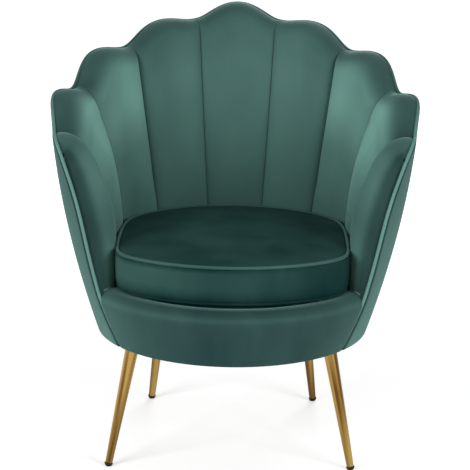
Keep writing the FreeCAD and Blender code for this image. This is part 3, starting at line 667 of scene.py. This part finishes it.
VELVET = velvet("velvet", VELVET_DARK, 0.30, 0.15)
# The seat velvet is a darker, less shiny copy of the velvet: painted shade on the seat cushion and
# its bottom cord.
SHADED_SEAT_VELVET = velvet("shaded_seat_velvet", SHADED_SEAT_DARK, 0.02, 0.05)
PLATFORM_CLOTH = velvet("platform_cloth", SHADED_SEAT_DARK, 0.0, 0.05)
SLOT_MATERIALS = {
    "velvet": VELVET,
    "black_plastic": plain("black_plastic", (0.004, 0.004, 0.0045), (0.008, 0.008, 0.0085),
                           0.5, 40.0, gloss=0.2),
    "plywood": plain("plywood", (0.50, 0.36, 0.21), (0.64, 0.48, 0.30), 0.7, 9.0, (1.0, 1.0, 6.0)),
    "pine": plain("pine", (0.62, 0.45, 0.26), (0.76, 0.60, 0.38), 0.7, 14.0, (1.0, 8.0, 8.0)),
    "foam": plain("foam", (0.78, 0.72, 0.50), (0.88, 0.83, 0.62), 0.9, 60.0),
    "webbing": plain("webbing", (0.02, 0.02, 0.022), (0.05, 0.05, 0.055), 0.85, 120.0),
    "cambric": plain("cambric", (0.012, 0.012, 0.013), (0.028, 0.028, 0.03), 0.9, 200.0),
    "zinc_steel": plain("zinc_steel", (0.50, 0.51, 0.53), (0.60, 0.61, 0.63), 0.35, 30.0,
                        strength=0.05, metallic=1.0),
}

for part in frame["record"]["subparts"]:
    node = frame["nodes"][part["node"]]
    if part["material_slot"] == "gold_metal":
        material = gold("brushed_" + part["node"], leg_lean(part["node"]))
    else:
        material = SLOT_MATERIALS[part["material_slot"]]
    node.data.materials.clear()
    node.data.materials.append(material)


# Channels of the back and arms

def channel_name(channel):
    if channel == 0:
        return "centre"
    return ("left_" if channel > 0 else "right_") + str(abs(channel))


def pad_face(u):
    """Face of the channels at columns u: up the wall, over the crest and down to the welt."""
    crest = crest_z(u)
    rounding = crest_round(u)
    shoulder = crest - rounding
    rise = np.linspace(0, 1, PAD_RISE_POINTS)
    low_z = blend(SEAT_LEVEL, shoulder[:, None], rise[None, :])
    low = wall_point(u[:, None], low_z, wall_depth(u[:, None], low_z))
    thick = wall_depth(u, shoulder)
    middle = np.minimum(CREST_MIDDLE_DEPTH, (thick + PAD_EDGE_DEPTH) / 2)
    turn = np.radians(np.linspace(0, CREST_WRAP_ANGLE, PAD_WRAP_POINTS))[1:]
    top_z = shoulder[:, None] + rounding[:, None] * np.sin(turn)
    depth = np.maximum(middle[:, None] + (thick - middle)[:, None] * np.cos(turn), PAD_EDGE_DEPTH)
    return np.concatenate([low, wall_point(u[:, None], top_z, depth)], 1)


def edge_shade(u):
    """Painted shade in the crease beside the welt of an arm's front edge."""
    return np.clip((ARM_EDGE - np.abs(u)) / EDGE_SHADE_WIDTH, EDGE_SHADE_LEAST, 1)


def pad_painted_light(u, face):
    """Painted light and shade of a channel: even on the middle ones, and on the others painted light
    high up and rearwards, with painted shade beside an arm's front welt.
    """
    share = np.clip((face[:, :, 2] - SEAT_LEVEL) / (crest_z(u)[:, None] - SEAT_LEVEL), 0, 1)
    channel = int(min(round(abs(float(u[0]))), 4))
    height = along(PAINTED_LIGHT_LEVELS, PAD_PAINTED_LIGHT[channel], share)
    forward = 2 * (np.abs(u) - channel) * PAD_PAINTED_LIGHT_TURN[channel]
    return np.clip(height * ((1 - forward) * edge_shade(u))[:, None], 0, 1)


def pad_back(u, count):
    """Back of the channels at columns u, with count points up each, as the face has."""
    crest = crest_z(u)
    share = np.linspace(0, 1, count)
    z = blend(SEAT_LEVEL, (crest - PAD_BACK_DROP)[:, None], share[None, :])
    edge = front_share(u, ARM_EDGE_TOP)[:, None]
    high = np.clip((share - 0.9) / 0.1, 0, 1)[None, :]
    back = blend(PAD_BACK_DEPTH, PAD_EDGE_DEPTH, 1 - np.cos(high * math.pi / 2))
    back = np.where(edge < 0.6, PAD_EDGE_DEPTH, back)
    return wall_point(u[:, None], z, back)


def channel_columns(channel):
    """Columns of a channel, close together at its seams and round an arm's front edge."""
    if abs(channel) < 4:
        turn = np.linspace(-math.pi / 2, math.pi / 2, PAD_COLUMNS)
        return channel + (0.5 - SEAM_GAP) * np.sin(turn)
    side = math.copysign(1, channel)
    start = 1 - ARM_FRONT_ROUND
    near = start * (1 - np.cos(np.linspace(0, math.pi / 2, ARM_PAD_COLUMNS)))
    near[0] = SEAM_GAP
    turn = np.radians(np.linspace(0, ARM_FRONT_TURN, ARM_FRONT_COLUMNS))[1:]
    return side * (ARM_SEAM + np.concatenate([near, start + ARM_FRONT_ROUND * np.sin(turn)]))


for channel in range(-4, 5):
    columns = channel_columns(channel)
    face = pad_face(columns)
    name = channel_name(channel)
    painted_light = pad_painted_light(columns, face)
    back = pad_back(columns, face.shape[1])
    pad = closed_slab("channel_pad_" + name, face, back, VELVET, painted_light)
    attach(pad, "frame")
    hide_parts("back_channel_" + name)


# Outer cover and welt

def cover_top(u):
    """Height of the cover's free edge, under the welt."""
    return crest_z(u) - 2 * WELT_RADIUS - WELT_GAP


def outer_cover():
    u = np.linspace(-ARM_EDGE, ARM_EDGE, COVER_COLUMNS)
    share = np.linspace(0, 1, COVER_ROWS)
    z = blend(BODY_BOTTOM, cover_top(u)[:, None], share[None, :])
    outer = wall_point(u[:, None], z, np.zeros_like(z))
    inner = wall_point(u[:, None], z, np.full_like(z, COVER_THICKNESS))
    # Painted light on the outer cover: lighter towards the arms' fronts and low down, with painted
    # shade high up and beside the front welts.
    painted_light = COVER_PAINTED_LIGHT + COVER_PAINTED_LIGHT_FORWARD * np.abs(u[:, None]) / ARM_EDGE
    painted_light = painted_light * edge_shade(u)[:, None]
    painted_light = painted_light * (COVER_PAINTED_LIGHT_MEAN + COVER_PAINTED_LIGHT_LOW * np.cos(math.pi * z / BACK_TOP_LEVEL))
    return closed_slab("outer_cover_cloth", outer, inner, VELVET, painted_light)


cover = outer_cover()
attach(cover, "frame")
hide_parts("outer_back_cover")


def welt_path():
    """Middle line of the welt, just outside the cover's free edge, from foot to foot."""
    rim = np.linspace(-ARM_EDGE, ARM_EDGE, WELT_RIM_POINTS)
    levels = np.linspace(BODY_BOTTOM + WELT_RADIUS, cover_top(ARM_EDGE) - 2 * WELT_RADIUS,
                         WELT_EDGE_POINTS)
    right = wall_point(np.full_like(levels, -ARM_EDGE), levels, WELT_DEPTH)
    top = wall_point(rim, cover_top(rim), WELT_DEPTH)
    left = wall_point(np.full_like(levels, ARM_EDGE), levels, WELT_DEPTH)[::-1]
    border = np.concatenate([right, top, left])
    run = np.gradient(border, axis=0)
    radial = border - np.array([0, BODY_CENTRE_Y, 0])
    radial[:, 2] = 0
    outward = np.cross(run, radial)
    outward /= np.linalg.norm(outward, axis=1, keepdims=True)
    path = border + outward * (WELT_RADIUS + WELT_GAP)
    step = np.linalg.norm(np.diff(path, axis=0), axis=1)
    place = np.concatenate([[0], np.cumsum(step)])
    even = np.linspace(0, place[-1], WELT_POINTS)
    path = np.stack([np.interp(even, place, path[:, k]) for k in range(3)], -1)
    for _ in range(WELT_SMOOTHING):
        path[1:-1] = (path[:-2] + 2 * path[1:-1] + path[2:]) / 4
    return path


def welt_painted_light(path):
    """Painted light and shade on the cord: a painted highlight down the arms' front edges and painted
    shade along the back.
    """
    forward = np.clip((WELT_PAINTED_LIGHT_START_Y - path[:, 1]) / WELT_PAINTED_LIGHT_SPAN, 0, 1)
    return np.repeat(blend(WELT_PAINTED_LIGHT_BACK, WELT_PAINTED_LIGHT_FRONT, forward), TUBE_SIDES)


welt_line = welt_path()
welt = tube("rim_welt_cord", welt_line, WELT_RADIUS, VELVET, welt_painted_light(welt_line))
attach(welt, "frame")
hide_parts("edge_welt")


# Front rail

def rail_point(across, z, depth):
    """Point of the front rail. Its face turns in at the welts, and its top tucks behind them."""
    end = np.clip((np.abs(across) - 1 + RAIL_END_ROUND) / RAIL_END_ROUND, 0, 1)
    depth = depth + RAIL_END_DROP * (1 - np.sqrt(1 - end * end))
    gap = blend(RAIL_END_GAP, -RAIL_TUCK, np.clip(depth / RAIL_TUCK_DEPTH, 0, 1))
    edge = arm_edge_angle(np.minimum(z, RAIL_TOP)) + np.degrees(gap / body_radius(120, z))
    angle = 180 - across * (180 - edge)
    return plan_point(angle, body_radius(angle, z) - depth, z)


def rail_profile(inset):
    """Heights and depths from the bottom edge, over the rounded top, back to the deck."""
    rise = np.linspace(0, 1, RAIL_FACE_POINTS)
    top = RAIL_TOP - inset
    face_z = blend(BODY_BOTTOM, top - RAIL_ROUND, rise)
    turn = np.radians(np.linspace(0, 90, RAIL_ROUND_POINTS))[1:]
    round_z = top - RAIL_ROUND * (1 - np.sin(turn))
    round_depth = inset + RAIL_ROUND * (1 - np.cos(turn))
    back = np.linspace(0, 1, RAIL_DECK_POINTS)[1:]
    deck_z = top - RAIL_DECK_DROP * back ** 2
    deck_depth = blend(inset + RAIL_ROUND, RAIL_TOP_DEPTH, back)
    z = np.concatenate([face_z, round_z, deck_z])
    depth = np.concatenate([np.full_like(face_z, inset), round_depth, deck_depth])
    return z, depth


def front_rail():
    across = np.sin(np.linspace(-math.pi / 2, math.pi / 2, RAIL_COLUMNS))[:, None]
    grids = []
    for inset in (0.0, COVER_THICKNESS):
        z, depth = rail_profile(inset)
        grids.append(rail_point(across, z[None, :], depth[None, :]))
    # Painted light and shade on the rail: dark in the middle and lighter towards the ends, a painted
    # highlight along the rolled top, and painted shade in the creases at the ends.
    painted_light = blend(RAIL_PAINTED_LIGHT_MIDDLE, RAIL_PAINTED_LIGHT_END, across ** 2)
    roll = np.exp(-((grids[0][:, :, 2] - RAIL_ROLL_HIGHLIGHT_LEVEL) / RAIL_ROLL_HIGHLIGHT_WIDTH) ** 2)
    painted_light = (painted_light + RAIL_PAINTED_HIGHLIGHT_ROLL * roll) * np.clip((1 - np.abs(across)) / RAIL_SHADE_WIDTH, 0.1, 1)
    return closed_slab("front_rail_cloth", grids[0], grids[1], VELVET, painted_light)


rail = front_rail()
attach(rail, "frame")
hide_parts("front_rail_cover", "front_rail_deck_cloth")


def corner_seam(side):
    """Sewn seam between an arm's front channel and the rail's rolled top, from welt to cushion."""
    u = np.linspace(ARM_EDGE - CORNER_SEAM_START, ARM_EDGE - ARM_FRONT_ROUND_LOW, SEAM_POINTS)
    depth = wall_depth(u, np.full_like(u, RAIL_TOP))
    roll = np.clip(1 - depth / RAIL_ROUND, 0, 1)
    z = RAIL_TOP - RAIL_ROUND * (1 - np.sqrt(1 - roll ** 2)) + CORNER_SEAM_RADIUS
    return wall_point(side * u, z, depth - CORNER_SEAM_RADIUS)


# The seams carry a painted highlight along their length.
for side, place in ((1, "left"), (-1, "right")):
    seam = tube("corner_seam_" + place, corner_seam(side), CORNER_SEAM_RADIUS, VELVET, SEAM_PAINTED_HIGHLIGHT,
                sides=SEAM_SIDES)
    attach(seam, "frame")


# Seat cushion

def cushion_profile():
    """Heights and insets from the middle of the underside, round the edge, to the crown."""
    bottom = CUSHION_BOTTOM
    top = bottom + CUSHION_HEIGHT
    low = CUSHION_BOTTOM_DRAW_IN + CUSHION_COVER_INSET
    high = CUSHION_TOP_DRAW_IN + CUSHION_COVER_INSET
    profile = [(bottom, inset) for inset in UNDERSIDE_INSETS]
    profile += [(bottom, low + 0.006), (bottom + CUSHION_EDGE_RISE, low + CUSHION_EDGE_RISE)]
    for share in np.linspace(0.07, 0.93, BOXING_POINTS):
        inset = blend(low, high, share) - BOXING_BULGE * math.sin(math.pi * share) ** 0.8
        profile.append((blend(bottom, top, share), max(inset, 0.0)))
    for share in np.linspace(0.02, 1.0, CROWN_POINTS):
        rise = CUSHION_CROWN * math.sin(share * math.pi / 2) ** 0.8
        inset = high + share * (CUSHION_SIDE_REACH - high - 0.004)
        profile.append((top - CUSHION_EDGE_RISE + rise, inset))
    return profile


def inflate(obj, material, pinned):
    """Remesh obj in voxels and let a cloth simulation fill it out.

    Pinned points stay where they are, and no other moves by more than CLOTH_REACH.
    """
    remesh = obj.modifiers.new("remesh", "REMESH")
    remesh.mode = "VOXEL"
    remesh.voxel_size = CLOTH_VOXEL
    bpy.context.view_layer.objects.active = obj
    bpy.ops.object.modifier_apply(modifier="remesh")
    mesh = obj.data
    start = vertex_points(mesh)
    group = obj.vertex_groups.new(name="pin")
    group.add([int(i) for i in np.nonzero(pinned(start))[0]], 1.0, "REPLACE")
    cloth = obj.modifiers.new("cloth", "CLOTH")
    cloth.settings.quality = 5
    cloth.settings.mass = 0.3
    cloth.settings.tension_stiffness = 18
    cloth.settings.compression_stiffness = 18
    cloth.settings.shear_stiffness = 6
    cloth.settings.bending_stiffness = 1.5
    cloth.settings.use_pressure = True
    cloth.settings.uniform_pressure_force = CLOTH_PRESSURE
    cloth.settings.vertex_group_mass = "pin"
    cloth.settings.effector_weights.gravity = 0
    cloth.collision_settings.use_collision = False
    cloth.point_cache.frame_start = 1
    cloth.point_cache.frame_end = CLOTH_FRAMES
    scene = bpy.context.scene
    for number in range(1, CLOTH_FRAMES + 1):
        scene.frame_set(number)
    shaped = obj.evaluated_get(bpy.context.evaluated_depsgraph_get()).to_mesh()
    shift = vertex_points(shaped) - start
    length = np.linalg.norm(shift, axis=1, keepdims=True)
    shift *= CLOTH_REACH * np.tanh(length / CLOTH_REACH) / np.maximum(length, 1e-9)
    obj.modifiers.remove(cloth)
    obj.vertex_groups.clear()
    mesh.vertices.foreach_set("co", (start + shift).reshape(-1))
    scene.frame_set(1)
    smooth = obj.modifiers.new("smooth", "SUBSURF")
    smooth.levels = smooth.render_levels = 1
    bpy.ops.object.modifier_apply(modifier="smooth")
    mesh.materials.clear()
    mesh.materials.append(material)
    for polygon in mesh.polygons:
        polygon.use_smooth = True


def cushion_painted_light(points):
    """Painted light and shade of the cushion: painted shade on top, and on the boxing painted light
    that darkens towards the sitter's left, with painted shade under the top cord and at its foot over
    the rail.
    """
    height = points[:, 2] - CUSHION_BOTTOM
    shade_under_cord = np.clip((CUSHION_HEIGHT - 0.006 - height) / 0.010, 0.2, 1)
    shade_over_rail = np.clip((height - 0.002) / 0.030, 0, 1)
    boxing = (BOXING_PAINTED_LIGHT - BOXING_PAINTED_LIGHT_SLOPE * points[:, 0]) * shade_under_cord * shade_over_rail
    return np.where(height > CUSHION_HEIGHT - 0.004, CUSHION_TOP_PAINTED_LIGHT, np.clip(boxing, 0, 1))


def set_painted_light(obj, painted_light):
    values = painted_light(vertex_points(obj.data)).astype(np.float32)
    attributes = obj.data.attributes
    layer = attributes.get("painted_light") or attributes.new("painted_light", "FLOAT", "POINT")
    layer.data.foreach_set("value", values)


def near_cords(points):
    """Points of the cushion that its two cords hold, and those of its underside."""
    reach = np.hypot(points[:, 0], points[:, 1] - BODY_CENTRE_Y)
    angle = np.degrees(np.arctan2(points[:, 0], points[:, 1] - BODY_CENTRE_Y))
    edge = cushion_radius(angle, CORD_HOLD_INSET)
    height = points[:, 2] - CUSHION_BOTTOM
    at_top_cord = np.abs(height - CUSHION_HEIGHT + CUSHION_EDGE_RISE) < CORD_HOLD
    at_bottom_cord = np.abs(height - CUSHION_EDGE_RISE) < CORD_HOLD
    underside = height < 0.001
    return (reach > edge) & (at_top_cord | at_bottom_cord) | underside


def seat_cushion():
    turns = full_turn(CUSHION_COLUMNS)
    rings = [plan_point(turns, cushion_radius(turns, inset), z) for z, inset in cushion_profile()]
    obj = closed_round("cushion_cloth", rings, SHADED_SEAT_VELVET)
    inflate(obj, SHADED_SEAT_VELVET, near_cords)
    set_painted_light(obj, cushion_painted_light)
    return obj


def cushion_cord(name, draw_in, z, material, painted_light):
    turns = full_turn(CORD_POINTS)
    path = plan_point(turns, cushion_radius(turns, draw_in), z)
    return tube(name, path, CUSHION_WELT_RADIUS, material, painted_light, closed=True)


cushion = seat_cushion()
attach(cushion, "seat_cushion")
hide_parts("seat_cushion_cover")
# The top cord carries a painted highlight; the bottom cord, in the darker seat velvet with no painted
# light, carries painted shade.
for name, node, draw_in, z, cord_material, cord_painted_light in (
        ("cushion_top_cord", "seat_cushion_top_welt", CUSHION_TOP_DRAW_IN,
         CUSHION_BOTTOM + CUSHION_HEIGHT - CUSHION_WELT_RADIUS, VELVET, TOP_CORD_PAINTED_LIGHT),
        ("cushion_bottom_cord", "seat_cushion_bottom_welt", CUSHION_BOTTOM_DRAW_IN,
         CUSHION_BOTTOM + CUSHION_WELT_RADIUS, SHADED_SEAT_VELVET, 0.0)):
    cord = cushion_cord(name, draw_in, z, cord_material, cord_painted_light)
    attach(cord, "seat_cushion")
    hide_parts(node)


# Platform under the cushion

def platform_profile():
    """Shares of the radius and heights, from the middle of the underside to the middle of the top."""
    low, high = PLATFORM_LEVELS
    profile = [(share, low) for share in (0.02, 0.5, 1.0)]
    for turn in np.radians(np.linspace(0, 90, PLATFORM_ROUND_POINTS)):
        share = 1 - PLATFORM_ROUND_SHARE * (1 - math.cos(turn))
        profile.append((share, high - PLATFORM_ROUND * (1 - math.sin(turn))))
    return profile + [(share, high) for share in (0.75, 0.5, 0.25, 0.02)]


def platform_radius(angle):
    """Plan radius of the platform, inside the cushion's outline and behind the rail's cloth."""
    behind_rail = body_radius(angle, PLATFORM_LEVELS[0]) - RAIL_TOP_DEPTH - PLATFORM_GAP
    return np.minimum(cushion_radius(angle, PLATFORM_MARGIN), behind_rail)


def platform_pad():
    turns = full_turn(PLATFORM_COLUMNS)
    rings = [plan_point(turns, platform_radius(turns) * share, z) for share, z in platform_profile()]
    # Its low painted light leaves it dark: partly its own dark cloth and partly painted shade.
    return closed_round("platform_cloth", rings, PLATFORM_CLOTH, PLATFORM_PAINTED_LIGHT)


platform = platform_pad()
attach(platform, "frame")
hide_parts("seat_deck_pad")


# Floor, light and camera

def stage_floor():
    """Floor that shows white, with the chair's shadow. It glows more where the lamps don't reach."""
    reach = FLOOR_REACH
    corners = [(-reach, -reach, 0), (reach, -reach, 0), (reach, reach, 0), (-reach, reach, 0)]
    material, nodes, links, shader = base_material("floor_white", (0.8, 0.8, 0.8), 0.9)
    shader.inputs["Specular IOR Level"].default_value = 0.0
    shader.inputs["Emission Color"].default_value = (1, 1, 1, 1)
    rays = nodes.new("ShaderNodeLightPath").outputs
    seen = math_node(nodes, links, "MAXIMUM", rays["Is Camera Ray"], rays["Is Glossy Ray"])
    place = nodes.new("ShaderNodeTexCoord")
    away = nodes.new("ShaderNodeVectorMath")
    away.operation = "LENGTH"
    links.new(place.outputs["Object"], away.inputs[0])
    spread = nodes.new("ShaderNodeMapRange")
    for name, value in (("From Min", FLOOR_NEAR), ("From Max", FLOOR_FAR),
                        ("To Min", FLOOR_GLOW), ("To Max", FLOOR_FAR_GLOW)):
        spread.inputs[name].default_value = value
    links.new(away.outputs["Value"], spread.inputs["Value"])
    glow = math_node(nodes, links, "MULTIPLY", seen, spread.outputs["Result"])
    links.new(glow, shader.inputs["Emission Strength"])
    new_object("floor", corners, [(0, 1, 2, 3)], material)


def background(nodes, strength):
    node = nodes.new("ShaderNodeBackground")
    node.inputs["Color"].default_value = (1, 1, 1, 1)
    node.inputs["Strength"].default_value = strength
    return node.outputs[0]


def studio_world():
    """Soft even light, in a room that the camera and shiny surfaces see as white."""
    world = bpy.data.worlds.new("studio")
    bpy.context.scene.world = world
    world.use_nodes = True
    nodes, links = world.node_tree.nodes, world.node_tree.links
    nodes.clear()
    rays = nodes.new("ShaderNodeLightPath").outputs
    seen = math_node(nodes, links, "MAXIMUM", rays["Is Camera Ray"], rays["Is Glossy Ray"])
    seen = math_node(nodes, links, "MAXIMUM", seen, rays["Is Transmission Ray"])
    mix = nodes.new("ShaderNodeMixShader")
    links.new(seen, mix.inputs[0])
    links.new(background(nodes, WORLD_LIGHT), mix.inputs[1])
    links.new(background(nodes, 1.0), mix.inputs[2])
    output = nodes.new("ShaderNodeOutputWorld")
    links.new(mix.outputs[0], output.inputs["Surface"])


def area_lamp(name, place, power):
    data = bpy.data.lights.new(name, "AREA")
    data.shape = "SQUARE"
    data.size = LAMP_SIZE
    data.energy = power
    lamp = bpy.data.objects.new(name, data)
    bpy.context.scene.collection.objects.link(lamp)
    lamp.location = place
    aim = Vector(LAMP_TARGET) - Vector(place)
    lamp.rotation_euler = aim.to_track_quat("-Z", "Y").to_euler()


def photo_camera():
    data = bpy.data.cameras.new("photo_camera")
    data.sensor_width = SENSOR_WIDTH
    data.lens = CAMERA_FOCAL_PIXELS / PHOTO_SIZE * SENSOR_WIDTH
    camera = bpy.data.objects.new("photo_camera", data)
    bpy.context.scene.collection.objects.link(camera)
    pitch, yaw, roll = (math.radians(a) for a in (CAMERA_PITCH, CAMERA_YAW, CAMERA_ROLL))
    ahead = Vector((math.sin(yaw) * math.cos(pitch), math.cos(yaw) * math.cos(pitch),
                    -math.sin(pitch)))
    level = Vector((math.cos(yaw), -math.sin(yaw), 0))
    upward = level.cross(ahead)
    right = level * math.cos(roll) + upward * math.sin(roll)
    up = upward * math.cos(roll) - level * math.sin(roll)
    turn = Matrix((right, up, -ahead)).transposed()
    camera.matrix_world = Matrix.Translation(Vector(CAMERA_PLACE)) @ turn.to_4x4()
    bpy.context.scene.camera = camera


stage_floor()
studio_world()
for lamp_name, lamp_place, lamp_power in LAMPS:
    area_lamp(lamp_name, lamp_place, lamp_power)
photo_camera()
bpy.context.scene.view_settings.view_transform = "Standard"
